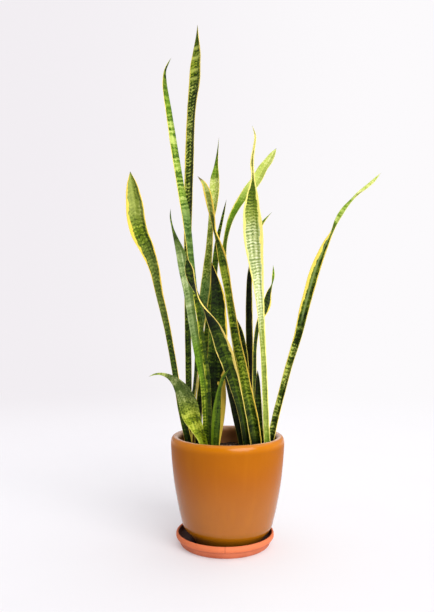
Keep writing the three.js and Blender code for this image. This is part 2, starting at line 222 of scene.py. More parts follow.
def mesh_piece(name, points, faces, node, material):
    """A smooth-shaded piece that rides on the plant's one body and stands for a CAD node."""
    mesh = bpy.data.meshes.new(name)
    mesh.from_pydata([tuple(p) for p in points], [], faces)
    mesh.shade_smooth()
    mesh.materials.append(material)
    piece = add_object(name, mesh)
    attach(piece, "root")
    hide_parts(node)
    return piece


def give(piece, name, values):
    """Gives each of the piece's points a vector that its material can read."""
    layer = piece.data.attributes.new(name, "FLOAT_VECTOR", "POINT")
    layer.data.foreach_set("vector", np.asarray(values, np.float32).ravel())


def tube_faces(rows, around):
    """Four-sided faces between rows of points that each run around a closed loop."""
    faces = []
    for row in range(rows - 1):
        for i in range(around):
            low, low_next = row * around + i, row * around + (i + 1) % around
            faces.append((low, low_next, low_next + around, low + around))
    return faces


# ---------------------------------------------------------------- leaves
LEAF_STEP = 0.004  # length of leaf from one row of points to the next
LEAF_SIDE_POINTS = 15  # points across a leaf's front, between its margins
RIM_POWER = 2.4  # how near its margins a leaf starts to thin out
RIM_FULLNESS = 0.55  # how bluntly the margins are rounded: 0 square, 1 elliptical
FOLD_LEVEL = 0.4  # where a leaf's centreline lies on the way from its fold to its margins
FOLD_DEPTH = 1.3  # how deep the visible leaf's hollow is, as a share of the CAD leaf's
FOLD_POWER = 1.3  # how round the fold is: 1 sharp, 2 round
SOIL_FADE = 0.05  # a leaf is straight in the soil, and wanders in full this high above it
TIP_FADE = 0.06  # its wandering ends over this length before its tip
TWIST = 0.10  # how far it turns to and fro, in radians
TWIST_WAVE = 0.09  # length of leaf from one such turn to the next
UNEVENNESS = 0.045  # how far each margin strays, as a share of half the width
UNEVEN_WAVE = 0.035
RIPPLE = 0.06  # how far the margins ripple, as a share of the hollow's depth
RIPPLE_WAVE = 0.02
THINNEST = 1e-5  # least width, thickness and depth of a section
LAYER_DEPTH = 0.02  # how far apart the patterns of a leaf's front and back are

# Three greens of a leaf, as sRGB values: its darkest bands, its ground and its pale bands.
# The near-black greens on the next line are painted shade, for leaves deep inside the plant.
SHADE_GREENS = ((6, 9, 3), (16, 23, 5), (34, 46, 10))
DARK = ((10, 18, 2), (32, 50, 6), (78, 98, 20))
DEEP = ((14, 26, 3), (46, 66, 9), (94, 114, 28))
PINE = ((20, 34, 4), (60, 84, 12), (116, 136, 38))
MOSS = ((34, 50, 4), (98, 122, 14), (172, 186, 56))
OLIVE = ((26, 40, 6), (78, 98, 22), (190, 200, 92))
FERN = ((50, 66, 16), (90, 106, 36), (132, 144, 62))
MEADOW = ((70, 84, 8), (128, 144, 20), (186, 194, 64))
DUSK = ((56, 72, 26), (94, 108, 50), (150, 158, 100))
FRESH = ((80, 98, 26), (138, 153, 58), (186, 196, 102))
LIME = ((66, 100, 22), (138, 168, 52), (200, 216, 112))
LEAF_GREEN = ((76, 108, 12), (108, 146, 28), (150, 176, 60))
YELLOW_GREEN = ((150, 172, 64), (192, 205, 96), (226, 230, 146))
SAGE = ((88, 110, 56), (138, 158, 94), (184, 196, 142))
HERRINGBONE = ((116, 134, 74), (196, 205, 138), (236, 240, 200))
SEA = ((58, 88, 32), (94, 126, 56), (130, 158, 82))

# The sRGB colours of the margins and of dead leaf.
YELLOW = (248, 224, 96)
LEMON = (243, 232, 128)
CREAM = (212, 214, 96)
GOLD = (255, 218, 84)
BUTTER = (254, 227, 118)
DRY = (92, 70, 34)

# How each leaf is coloured: as LOOK says, unless its entry in LEAF_LOOKS does. A stop starts with
# a share of the leaf's length above the soil, and what it says changes smoothly up to the next
# stop.
#   greens: stops with its three greens
#   pale: about the share of it that is pale
#   bands: stops with the strength of its narrow bands
#   period: the space from one narrow band to the next
#   broken: how far the narrow bands are cut into short dashes
#   blocks, block_length: the strength and the length of its wide blocks
#   mottle: the strength of its flecks
#   margin: the colour of its margins
#   margins: stops with its left and its right margin's width, as shares of the leaf's width
#   stripes_and_fold_shading: for each, the shares of the width that it lies between, the shares of
#       the length that it lies between, its strength and its colour. Shares under 0 or over 1 are
#       past the edges.
#       Many that run along one side are painted fold shading: painted shade on a facet turned from
#       the light, painted light on one turned to it. The others are the leaf's own marks, such as
#       dry patches and pale bands.
#   shade: how much darker its foot is, partly its own colour and partly painted shade where the
#       leaves crowd together
#   dry: how long its dead point is
LOOK = dict(
    pale=0.45, bands=((0, 0.6),), period=0.0088, blocks=0.7, block_length=0.0167, mottle=0.6,
    broken=0.35, margin=YELLOW, margins=((0, 0.04, 0.04),), stripes_and_fold_shading=(), shade=0.7, dry=0.003,
)
LEAF_LOOKS = {
    "leaf_far_left": dict(
        greens=((0, DARK), (0.16, PINE), (0.4, PINE), (0.5, FERN), (0.7, FERN), (0.8, MOSS),
                (0.87, FRESH)),
        bands=((0, 0.4), (0.55, 0.6), (0.82, 0.6), (0.9, 0.3)), blocks=0.4, broken=0.6,
        margin=GOLD,
        margins=((0, 0.04, 0.03), (0.5, 0.04, 0.06), (0.6, 0.04, 0.14), (0.66, 0.07, 0.1),
                 (0.78, 0.15, 0.05), (0.95, 0.1, 0.06)),
        stripes_and_fold_shading=((0.78, 0.94, 0.72, 1, 0.6, PINE[0]), (0.1, 0.5, 0.86, 1, 0.4, FRESH[2]),
                 (-0.2, 0.08, 0.7, 1, 0.4, CREAM)),
    ),
    "leaf_front_curl": dict(
        greens=((0, MEADOW), (0.34, MEADOW), (0.64, DUSK), (0.8, DUSK), (0.92, FRESH)),
        bands=((0, 0.2),), blocks=0.9, mottle=1.0, broken=1.0, margin=CREAM, shade=0,
        margins=((0, 0.12, 0.02), (0.2, 0.06, 0.0), (0.45, 0.0, 0.0)),
        stripes_and_fold_shading=((0.1, 0.9, 0.6, 0.75, 0.3, PINE[1]), (0.3, 0.44, 0, 0.4, 0.4, PINE[1])),
    ),
    "leaf_tallest": dict(
        greens=((0, DARK), (0.3, PINE), (0.45, OLIVE), (0.84, OLIVE), (0.88, MOSS), (0.95, PINE)),
        bands=((0, 0.4), (0.3, 0.7), (0.6, 0.8)), blocks=0.6, mottle=1.0, broken=0.6,
        margins=((0, 0.03, 0.03), (0.4, 0.06, 0.03), (0.7, 0.08, 0.04), (0.84, 0.05, 0.12)),
        stripes_and_fold_shading=((0.6, 0.98, 0.3, 0.84, 0.8, DARK[0]), (-0.2, 1.2, 0.958, 1.1, 0.8, PINE[1]),
                 (-0.2, 0.9, 0.936, 0.944, 0.8, OLIVE[2]), (-0.2, 0.9, 0.911, 0.92, 0.9, OLIVE[2]),
                 (-0.2, 0.7, 0.88, 0.888, 0.8, OLIVE[2]), (-0.2, 0.6, 0.86, 0.867, 0.8, OLIVE[2])),
    ),
    "leaf_second_tall": dict(
        greens=((0, DARK), (0.2, MOSS), (0.42, MOSS), (0.47, SEA), (0.6, SEA), (0.67, LIME),
                (0.82, LIME), (0.88, LEAF_GREEN), (0.97, PINE)),
        bands=((0, 0.35), (0.6, 0.5), (0.84, 0.5), (0.9, 0.1)), blocks=1.5, block_length=0.009,
        mottle=0.3, margins=((0, 0.02, 0.02), (0.4, 0.07, 0.0)),
        stripes_and_fold_shading=((0.7, 1.2, 0.3, 0.96, 0.35, PINE[1]), (0.45, 1.2, 0, 0.42, 0.75, DARK[1])),
    ),
    "leaf_diagonal": dict(
        greens=((0, DARK), (0.3, DEEP), (0.5, PINE), (0.75, DARK)), shade=0.5,
        bands=((0, 0.4), (0.4, 0.6)), blocks=0.9, broken=0.7, margin=BUTTER,
        margins=((0, 0.03, 0.03), (0.25, 0.03, 0.05), (0.38, 0.03, 0.12), (0.45, 0.04, 0.2),
                 (0.6, 0.04, 0.17), (0.7, 0.04, 0.1)),
        stripes_and_fold_shading=((-0.2, 0.4, 0, 0.7, 0.4, DARK[0]), (0.7, 1.1, 0.418, 0.424, 0.9, DARK[0]),
                 (0.4, 0.62, 0.1, 0.6, 0.25, MOSS[1])),
    ),
    "leaf_left_middle": dict(
        greens=((0, DARK), (0.12, MOSS), (0.24, MOSS), (0.34, LEAF_GREEN), (0.42, LEAF_GREEN),
                (0.52, SAGE), (0.76, SAGE), (0.92, PINE)),
        pale=0.38, bands=((0, 0.5), (0.4, 0.6), (0.55, 0.25)), period=0.007, broken=0.6,
        margins=((0, 0.03, 0.01), (0.4, 0, 0)),
        stripes_and_fold_shading=((0.68, 1.2, 0.1, 0.9, 0.7, PINE[1]), (0.36, 0.46, 0.1, 0.4, 0.5, DARK[1])),
    ),
    # Its upper part goes near black: painted shade over its tip.
    "leaf_centre_wide": dict(
        greens=((0, DARK), (0.45, DARK), (0.55, PINE), (0.68, PINE), (0.8, DARK), (0.92, SHADE_GREENS)),
        pale=0.35, bands=((0, 0.2), (0.5, 0.5)), broken=0.8, shade=0.3, margin=GOLD,
        margins=((0, 0, 0.3), (0.35, 0, 0.32), (0.42, 0.01, 0.1), (0.75, 0.01, 0.09)),
    ),
    "leaf_front_small": dict(
        greens=((0, PINE),), pale=0.3, bands=((0, 0.2),), blocks=0.4, shade=0.3,
        margins=((0, 0, 0),), stripes_and_fold_shading=((-0.2, 0.35, 0, 1, 0.6, MOSS[1]),),
    ),
    "leaf_centre_tall": dict(
        greens=((0, DARK), (0.35, PINE), (0.44, SEA), (0.5, SEA), (0.57, FRESH), (0.68, FRESH),
                (0.84, YELLOW_GREEN), (0.88, LEAF_GREEN), (0.97, PINE)),
        pale=0.55, bands=((0, 0.4), (0.5, 0.6), (0.7, 0.3)), mottle=1.4, broken=0.8,
        margins=((0, 0.02, 0.3), (0.25, 0.02, 0.3), (0.35, 0.04, 0.1), (0.6, 0.06, 0.12),
                 (0.85, 0.02, 0.05)),
    ),
    "leaf_centre_twist": dict(
        greens=((0, DARK), (0.12, PINE), (0.28, MOSS), (0.62, MOSS), (0.72, PINE),
                (0.84, PINE), (0.89, FRESH), (0.97, YELLOW_GREEN)),
        pale=0.53, bands=((0, 0.4), (0.3, 0.8), (0.7, 0.5)), broken=0.6, shade=0.5, dry=0.012,
        margin=GOLD,
        margins=((0, 0.04, 0.08), (0.35, 0.03, 0.1), (0.7, 0.05, 0.14), (0.78, 0.08, 0.4),
                 (0.88, 0.1, 0.34), (0.93, 0.2, 0.12)),
        stripes_and_fold_shading=((-0.2, 0.35, 0, 0.45, 0.5, DARK[0]), (0.25, 0.45, 0.84, 0.95, 0.5, DRY),
                 (-0.2, 0.1, 0.9, 0.95, 0.8, DRY)),
    ),
    # The short back, arching dark and shaded leaves are near black: painted shade deep inside the
    # plant. The arching one turns green where its tip comes out of that shade.
    "leaf_short_back": dict(greens=((0, SHADE_GREENS), (0.5, DARK))),
    "leaf_arching_dark": dict(
        greens=((0, SHADE_GREENS), (0.7, SHADE_GREENS), (0.85, PINE), (0.95, LEAF_GREEN)),
        margins=((0, 0.12, 0.08), (0.5, 0.04, 0.12)),
    ),
    "leaf_shaded": dict(greens=((0, SHADE_GREENS),), margins=((0, 0.01, 0.02),)),
    "leaf_pinched": dict(
        greens=((0, DARK), (0.84, DEEP), (0.9, LEAF_GREEN)), mottle=0.2,
        margins=((0, 0.05, 0.05), (0.84, 0.05, 0.12)),
    ),
    "leaf_yellow_edged": dict(
        greens=((0, LEAF_GREEN), (0.1, FRESH), (0.36, FRESH), (0.5, HERRINGBONE),
                (0.66, HERRINGBONE), (0.74, FRESH), (0.8, MOSS), (0.86, PINE)),
        pale=0.5, bands=((0, 0.2), (0.3, 0.3), (0.45, 0.8)), period=0.0068, blocks=0.3,
        broken=0.25, shade=0, margin=LEMON,
        margins=((0, 0.06, 0.1), (0.4, 0.07, 0.16), (0.6, 0.1, 0.16), (0.8, 0.14, 0.16),
                 (0.88, 0.42, 0.42)),
        stripes_and_fold_shading=((0.66, 0.82, 0.3, 0.84, 0.5, MOSS[1]), (0.3, 0.78, 0.78, 0.88, 0.7, DARK[2]),
                 (0.2, 0.42, 0.36, 0.5, 0.25, HERRINGBONE[2])),
    ),
    "leaf_small_spike": dict(greens=((0, DARK),), shade=0.3),
    "leaf_far_right": dict(
        greens=((0, PINE), (0.08, OLIVE), (0.38, OLIVE), (0.42, PINE), (0.7, PINE), (0.76, LIME),
                (0.84, LIME), (0.92, YELLOW_GREEN)),
        pale=0.58, bands=((0, 0.5), (0.38, 0.5), (0.42, 0.1)), blocks=1.3, mottle=0.8, shade=0.2,
        margins=((0, 0.05, 0.03), (0.38, 0.1, 0.04), (0.5, 0.26, 0.08), (0.7, 0.3, 0.14),
                 (0.77, 0.04, 0.02)),
        stripes_and_fold_shading=((0.34, 0.56, 0.42, 0.74, 0.7, SAGE[1]), (0.6, 1.2, 0.02, 0.4, 0.5, DARK[1]),
                 (-0.2, 1.2, 0.78, 0.86, 0.4, LIME[1]), (0.5, 1.1, 0.87, 0.9, 0.6, DRY)),
    ),
    "leaf_upper_right": dict(
        greens=((0, DARK), (0.4, PINE), (0.55, MOSS), (0.76, LEAF_GREEN), (0.86, YELLOW_GREEN)),
        pale=0.4, bands=((0, 0.3),), blocks=0.4, mottle=0.4, margin=LEMON,
        margins=((0, 0.14, 0.04), (0.75, 0.12, 0.04), (0.85, 0.02, 0.05)),
    ),
    "leaf_thin_back": dict(
        greens=((0, DARK), (0.8, PINE)), margins=((0, 0.14, 0.05), (0.8, 0.02, 0.02)),
    ),
}

LEAF_SEEDS = 7.3  # keeps each leaf's random curves and patterns apart from the next one's
LAYER_SCALE = 3  # how fast patterns change from one leaf, or one side of a leaf, to the next
BAND_GRAIN = (130, 110)  # gaps in the bands, for each metre across and along
BLOCK_GRAIN = 18  # wide blocks for each metre across
LINES_PER_BAND = 2.2  # fine lines for each narrow band
LINE_STRENGTH = 0.3  # of those, as a share of the narrow bands' strength
CHEVRON = 0.14  # how steeply the bands fall from the middle of a leaf to its margins
JAGS = 0.0025  # how far fine streaks move the bands' edges
WAVES = 0.007  # how far the bands wave
BREAK = 2.4  # how far a fully broken band is moved up and down, in spaces between bands
STRIPE_END = 0.03  # how softly a stripe begins and ends, as a share of the leaf's length
MARGIN_EDGE = 0.0006  # how softly the yellow margins end


def measured_section(corners):
    """A section's row in leaf_sections, from its corners."""
    gaps = np.linalg.norm(corners[:, None] - corners[None], axis=2)
    one, other = np.unravel_index(gaps.argmax(), gaps.shape)
    chord = corners[other] - corners[one]
    margins = (corners[other] + corners[one]) / 2
    off_middle = np.abs((corners - margins) @ chord)
    front, back = corners[np.argsort(off_middle)[:2]]
    hollow = margins - (front + back) / 2
    depth = np.linalg.norm(hollow)
    looks = hollow / depth
    place = (front + back) / 2 + FOLD_LEVEL * hollow
    return [*place, *looks, np.linalg.norm(chord), np.linalg.norm(front - back), depth]


def leaf_sections(node):
    """What a CAD leaf's cross-sections measure, from its base to its tip. Each row holds the
    centreline's place, the way the hollow front looks, the width, thickness and hollow depth."""
    points, beside = welded(node)
    bottom = {int(i) for i in np.flatnonzero(points[:, 2] < points[:, 2].min() + WELD)}
    centre = next(i for i in bottom if beside[i] <= bottom)
    reached = {centre}
    ring = bottom - reached
    rows = []
    while len(ring) > 1:
        reached |= ring
        rows.append(measured_section(points[sorted(ring)]))
        ring = set().union(*(beside[i] for i in ring)) - reached
    tip = points[ring.pop()]
    rows.append([*tip, *rows[-1][3:6], 0.0, 0.0, 0.0])
    return np.array(rows)


def wander(at, size, seed):
    """A slow random curve along a leaf, from -1 to 1, whose waves are about the given size."""
    return np.array([noise.noise(Vector((value / size, seed, 0.5))) for value in at])


def section_outline():
    """The points of a leaf's section, over its front and back behind it. For each: how far across
    it lies, from -1 to 1, which side it is on, and the share of the thickness there."""
    angles = np.linspace(0, math.pi, LEAF_SIDE_POINTS + 2)
    front = -np.cos(angles)
    shares = np.concatenate([front, front[-2:0:-1]])
    sides = np.concatenate([np.ones(len(front)), -np.ones(len(front) - 2)])
    rim = np.clip(1 - np.abs(shares) ** RIM_POWER, 0, None) ** RIM_FULLNESS
    return shares, sides, rim


def leaf_faces(rows, around):
    """A leaf's faces. Its tip and then its base come after the rows in its list of points."""
    faces = tube_faces(rows, around)
    last, tip, base = (rows - 1) * around, rows * around, rows * around + 1
    for i in range(around):
        following = (i + 1) % around
        faces.append((last + i, last + following, tip))
        faces.append((following, i, base))
    return faces


def per_point(*parts):
    """Vectors for all points of a grid, row after row. Each of their three parts is given for
    every point, or once for each row, or once for each column."""
    return np.stack(np.broadcast_arrays(*parts), axis=2).reshape(-1, 3)


def build_leaf(node, number):
    """A leaf's fine surface around the CAD leaf's centreline, with its margins rounded."""
    rows = leaf_sections(node)
    stops = lengths_along(rows[:, :3])
    total = stops[-1]
    count = int(total / LEAF_STEP)
    at = total * np.linspace(0, 1, count, endpoint=False)
    fine = smoothed(at, stops, rows)
    place, looks = fine[:, :3], unit(fine[:, 3:6])
    width, thickness, depth = np.maximum(fine[:, 6:], THINNEST).T
    tangent = unit(np.gradient(place, at, axis=0))
    across = unit(np.cross(tangent, looks))
    forward = np.cross(across, tangent)

    seed = LEAF_SEEDS * number
    out_of_soil = np.clip((place[:, 2] - SOIL_HIGH.z) / SOIL_FADE, 0, 1)
    sway = out_of_soil * np.clip((total - at) / TIP_FADE, 0, 1)
    turn = TWIST * sway * wander(at, TWIST_WAVE, seed)
    across, forward = (
        across * np.cos(turn)[:, None] + forward * np.sin(turn)[:, None],
        forward * np.cos(turn)[:, None] - across * np.sin(turn)[:, None],
    )
    left = width / 2 * (1 + sway * UNEVENNESS * wander(at, UNEVEN_WAVE, seed + 1))
    right = width / 2 * (1 + sway * UNEVENNESS * wander(at, UNEVEN_WAVE, seed + 2))

    shares, sides, rim = section_outline()
    bend = FOLD_DEPTH * (np.abs(shares) ** FOLD_POWER - FOLD_LEVEL)
    ripple = sway * RIPPLE * wander(at, RIPPLE_WAVE, seed + 3)
    reach = np.where(shares < 0, left[:, None], right[:, None]) * shares
    lift = (
        depth[:, None] * (bend + ripple[:, None] * np.abs(shares) ** 2)
        + thickness[:, None] / 2 * sides * rim
    )
    grid = (
        place[:, None]
        + across[:, None] * reach[:, :, None]
        + forward[:, None] * lift[:, :, None]
    )
    points = np.vstack([grid.reshape(-1, 3), rows[-1, :3], place[0]])
    material = leaf_material(node, width.max())
    piece = mesh_piece(node + "_skin", points, leaf_faces(count, len(shares)), node, material)

    # The pattern's parts are how far across the leaf a point lies, how far along it from the soil,
    # and a layer of its own. The ways are its share of the width, its share of the length above
    # the soil, and its distance from the tip.
    soil_at = at[np.argmax(place[:, 2] > SOIL_HIGH.z)]
    along = (at - soil_at)[:, None]
    pattern = per_point(reach, along, seed + LAYER_DEPTH * sides * rim)
    ways = per_point((1 + shares) / 2, along / (total - soil_at), (total - at)[:, None])
    give(piece, "leaf_pattern", [*pattern, (0, total - soil_at, seed), (0, -soil_at, seed)])
    give(piece, "leaf_ways", [*ways, (0.5, 1, 0), (0.5, 0, total)])


class LeafGraph(Graph):
    """A leaf's material, coloured as its entry in LEAF_LOOKS says."""

    def __init__(self, node):
        super().__init__(node)
        self.look = {**LOOK, **LEAF_LOOKS[node]}
        self.pattern = self.attribute("leaf_pattern")
        self.across, self.along, self.layer = self.split(self.pattern)
        self.from_left, self.height, self.to_tip = self.split(self.attribute("leaf_ways"))
        self.streaks = self.blotches(0.0011, 0.033, detail=1.0)
        self.waves = self.blotches(0.011, 0.018, detail=1.0)
        self.ribs = self.blotches(0.0007, 0.08, detail=1.0)

    def blotches(self, wide, long, **settings):
        """Noise whose blotches are that wide across the leaf and that long along it."""
        places = self.stretch(self.pattern, 1 / wide, 1 / long, LAYER_SCALE)
        return self.noise(places, **settings)

    def waved(self, value, size):
        """The value moved to and fro by the leaf's waves."""
        return self.math("MULTIPLY_ADD", self.math("SUBTRACT", self.waves, 0.5), size, value)

    def green_of(self, step):
        """The leaf's dark, middle or pale green, from the soil to the tip."""
        stops = self.look["greens"]
        green = linear(*stops[0][1][step])
        for (start, _), (end, greens) in zip(stops, stops[1:]):
            green = self.mix(self.step(self.height, start, end), green, linear(*greens[step]))
        return green

    def graded(self, stops, part):
        """A number that goes from one stop's part to the next one's, from the soil to the tip."""
        number = stops[0][part]
        for before, after in zip(stops, stops[1:]):
            change = self.step(self.height, before[0], after[0], 0, after[part] - before[part])
            number = self.math("ADD", number, change)
        return number

    def bent_along(self):
        """How far along the leaf a point lies, moved as the bands fall, wave and break there."""
        columns = self.blotches(0.007, 0.03, detail=1.0)
        moves = (
            (CHEVRON, self.math("ABSOLUTE", self.across)), (JAGS, self.streaks),
            (WAVES, self.waves), (BREAK * self.look["broken"] * self.look["period"], columns),
        )
        moved = self.along
        for size, cause in moves:
            moved = self.math("MULTIPLY_ADD", cause, size, moved)
        return moved

    def tone(self):
        """How pale the skin is: -1 its dark green, 0 its middle green and 1 its pale green."""
        look = self.look
        along = self.bent_along()
        turns = 2 * math.pi / look["period"]
        narrow = self.math("SINE", self.math("MULTIPLY", along, turns))
        lines = self.math("SINE", self.math("MULTIPLY", along, LINES_PER_BAND * turns))
        bands = self.math("MULTIPLY_ADD", lines, LINE_STRENGTH, narrow)
        bent = self.join(self.across, along, self.layer)
        gaps = self.noise(self.stretch(bent, *BAND_GRAIN, LAYER_SCALE))
        gaps = self.step(gaps, 0.35, 0.55, 0.15, 1.1)
        tone = self.product(bands, gaps, self.graded(look["bands"], 1))
        blocks = self.stretch(bent, BLOCK_GRAIN, 1 / look["block_length"], LAYER_SCALE)
        causes = (
            (6 * look["blocks"], self.noise(blocks, roughness=0.6)),
            (1.2, self.blotches(0.05, 0.11, detail=1.0)),
            (2.5, self.blotches(0.0045, 0.12, detail=1.0)),
            (4 * look["mottle"], self.blotches(0.0042, 0.0036)),
        )
        for share, cause in causes:
            tone = self.math("MULTIPLY_ADD", self.math("SUBTRACT", cause, 0.5), share, tone)
        return self.math("ADD", tone, 1.6 * (look["pale"] - 0.5))

    def striped_and_fold_shaded(self, green):
        """The green with its stripes: own marks, and painted shade and light on its folds."""
        for left, right, low, high, strength, colour in self.look["stripes_and_fold_shading"]:
            sideways = self.waved(self.from_left, 0.12)
            end = min(STRIPE_END, (high - low) / 2)
            upwards = self.waved(self.height, 0.3 * end)
            share = self.product(
                self.step(sideways, left - 0.04, left + 0.06, 0, strength),
                self.step(sideways, right + 0.04, right - 0.06),
                self.step(upwards, low - end, low + end),
                self.step(upwards, high + end, high - end),
            )
            green = self.mix(share, green, linear(*colour))
        return green

    def edged(self, green, pale, widest):
        """The green between yellow margins that wander a little, with a paler strip inside them."""
        wobble = self.step(self.blotches(0.016, 0.018, detail=3.0), 0.2, 0.8, 0.6, 1.4)
        yellow = linear(*self.look["margin"])
        stained = tuple(0.82 * part for part in yellow[:3]) + (1.0,)
        yellow = self.mix(self.step(self.streaks, 0.4, 0.75), yellow, stained)
        soft = MARGIN_EDGE / widest
        distances = {1: self.from_left, 2: self.math("SUBTRACT", 1.0, self.from_left)}
        for side, distance in distances.items():
            reach = self.product(self.graded(self.look["margins"], side), wobble)
            inside = self.math("SUBTRACT", distance, reach)
            has_margin = self.step(reach, 0.002, 0.02)
            strip = self.product(has_margin, self.step(inside, 0.06, 0.0, 0, 0.35))
            green = self.mix(strip, green, pale)
            margin = self.product(has_margin, self.step(inside, soft, -soft))
            green = self.mix(margin, green, yellow)
        return green

    def dried(self, green):
        """The green with a dry, ragged point."""
        length = self.look["dry"]
        ragged = self.math("MULTIPLY_ADD", self.streaks, 0.5 * length, self.to_tip)
        return self.mix(self.step(ragged, 1.5 * length, length, 0, 0.8), green, linear(*DRY))


def leaf_material(node, widest):
    """Wavy cross-bands in three greens between yellow margins, with a waxy, finely ribbed skin."""
    g = LeafGraph(node)
    dark, middle, pale = (g.green_of(step) for step in range(3))
    tone = g.tone()
    green = g.mix(g.step(tone, -1.1, 0.0), dark, middle)
    green = g.mix(g.step(tone, 0.0, 1.1), green, pale)
    green = g.mix(g.step(g.ribs, 0.4, 0.7, 0, 0.25), green, dark)
    # Painted shade and light on the leaf's folds, with its own stripes.
    green = g.striped_and_fold_shaded(green)
    # The foot is darkened: partly its own colour, partly painted shade where the leaves crowd.
    above_soil = g.math("MULTIPLY_ADD", g.waves, 0.04, g.along)
    foot = g.step(above_soil, 0.0, 0.11, g.look["shade"], 0.0)
    green = g.mix(foot, green, linear(*SHADE_GREENS[1]))
    green = g.dried(g.edged(green, pale, widest))
    relief = g.math("MULTIPLY_ADD", tone, 0.25, g.math("MULTIPLY", g.ribs, 0.8))
    g.bump(relief, 0.0006, 0.5)
    gloss = g.blotches(0.016, 0.04, detail=3.0)
    return g.finish(green, g.step(gloss, 0.3, 0.75, 0.38, 0.52), specular=0.12)


# ---------------------------------------------------------------- turned clay
TOGETHER = 1e-6  # points nearer than this are joined
NO_LENGTH = 1e-7  # edges shorter than this are dropped
TURNED_SEGMENTS = 144
PROFILE_STEP = 0.003  # length of a profile from one row of points to the next
SHARP_TURN = math.radians(32)  # a profile that turns more than this keeps a corner there
EASINGS = 2  # how often a profile's corners are eased
DENT_DEPTH = 0.0002  # how far the clay lies inside its even shape on average
DENT_GRAIN = (14, 20)  # how close together its dents are, for each metre around and up
DENTS_FROM = 0.02  # nearer the axis than this, the clay is even
POT_FOOT_Z = 0.05  # the glaze is browner below
SAUCER_LIP_Z = 0.016  # where the saucer's lip band meets its lower wall
SAUCER_SEAM_X = -0.001  # a faint join in the front of the lip band


def profile_of(node, axis):
    """A turned CAD node's outline as (radius, height) points, walked from its lowest middle."""
    points, beside = welded(node)
    local = points - np.array([axis.x, axis.y, 0])
    cut = {int(i) for i in np.flatnonzero((np.abs(local[:, 1]) < WELD) & (local[:, 0] > -WELD))}
    here = min(cut, key=lambda i: (round(local[i, 0], 4), local[i, 2]))
    line = [here]
    ahead = sorted(beside[here] & cut, key=lambda i: local[i, 2])
    while ahead:
        here = ahead[0]
        line.append(here)
        ahead = sorted((beside[here] & cut) - set(line), key=lambda i: local[i, 2])
    return local[line][:, [0, 2]]


def fine_profile(outline, closed):
    """The outline as a smooth line of short steps, whose corners are slightly eased."""
    if closed:
        outline = np.vstack([outline, outline[:1]])
    ways = np.diff(outline, axis=0)
    angles = np.arctan2(ways[:, 1], ways[:, 0])
    turns = np.abs((np.diff(angles) + math.pi) % (2 * math.pi) - math.pi)
    corners = [0, *(np.flatnonzero(turns > SHARP_TURN) + 1), len(outline) - 1]
    line = []
    for start, end in zip(corners, corners[1:]):
        run = outline[start:end + 1]
        stops = lengths_along(run)
        steps = max(1, round(stops[-1] / PROFILE_STEP))
        at = np.linspace(0, stops[-1], steps, endpoint=False)
        line.append(smoothed(at, stops, run))
    if not closed:
        line.append(outline[-1:])
    line = np.vstack(line)
    for _ in range(EASINGS):
        eased = line.copy()
        eased[1:-1] = (line[:-2] + 2 * line[1:-1] + line[2:]) / 4
        line = eased
    return line


def dent(radius, angle, height):
    """How far hand-turned clay lies inside its even shape there."""
    if radius <= DENTS_FROM:
        return 0
    around, up = DENT_GRAIN
    x, y = around * math.cos(angle) * radius, around * math.sin(angle) * radius
    return DENT_DEPTH * (1 + noise.noise(Vector((x, y, up * height))))


def turned_mesh(line, axis, closed):
    """Points and faces of a line of (radius, height) points turned about an axis."""
    angles = np.linspace(0, 2 * math.pi, TURNED_SEGMENTS, endpoint=False)
    points = []
    for radius, height in line:
        for angle in angles:
            reach = max(0.0, radius - dent(radius, angle, height))
            x, y = reach * math.cos(angle), reach * math.sin(angle)
            points.append((axis.x + x, axis.y + y, height))
    faces = [face[::-1] for face in tube_faces(len(line), TURNED_SEGMENTS)]
    if closed:
        last = (len(line) - 1) * TURNED_SEGMENTS
        for i in range(TURNED_SEGMENTS):
            following = (i + 1) % TURNED_SEGMENTS
            faces.append((i, following, last + following, last + i))
    return points, faces


def tidy(piece):
    """Joins points that fell together, such as those on the axis, and turns faces outwards."""
    bm = bmesh.new()
    bm.from_mesh(piece.data)
    bmesh.ops.remove_doubles(bm, verts=bm.verts, dist=TOGETHER)
    bmesh.ops.dissolve_degenerate(bm, edges=bm.edges, dist=NO_LENGTH)
    bmesh.ops.recalc_face_normals(bm, faces=bm.faces)
    bm.to_mesh(piece.data)
    bm.free()
    piece.data.shade_smooth()


def build_turned(node, axis, material, closed):
    """A turned CAD node's fine surface. Its outline is closed where it has a hole in its middle.
    Its points know their radius, their height, and how far along the wall they lie past the rim's
    crest, inwards."""
    line = fine_profile(profile_of(node, axis), closed)
    points, faces = turned_mesh(line, axis, closed)
    piece = mesh_piece(node + "_turned", points, faces, node, material)
    way = lengths_along(line)
    ways = np.stack([line[:, 0], line[:, 1], way - way[line[:, 1].argmax()]], axis=1)
    give(piece, "turned_ways", np.repeat(ways, TURNED_SEGMENTS, axis=0))
    tidy(piece)


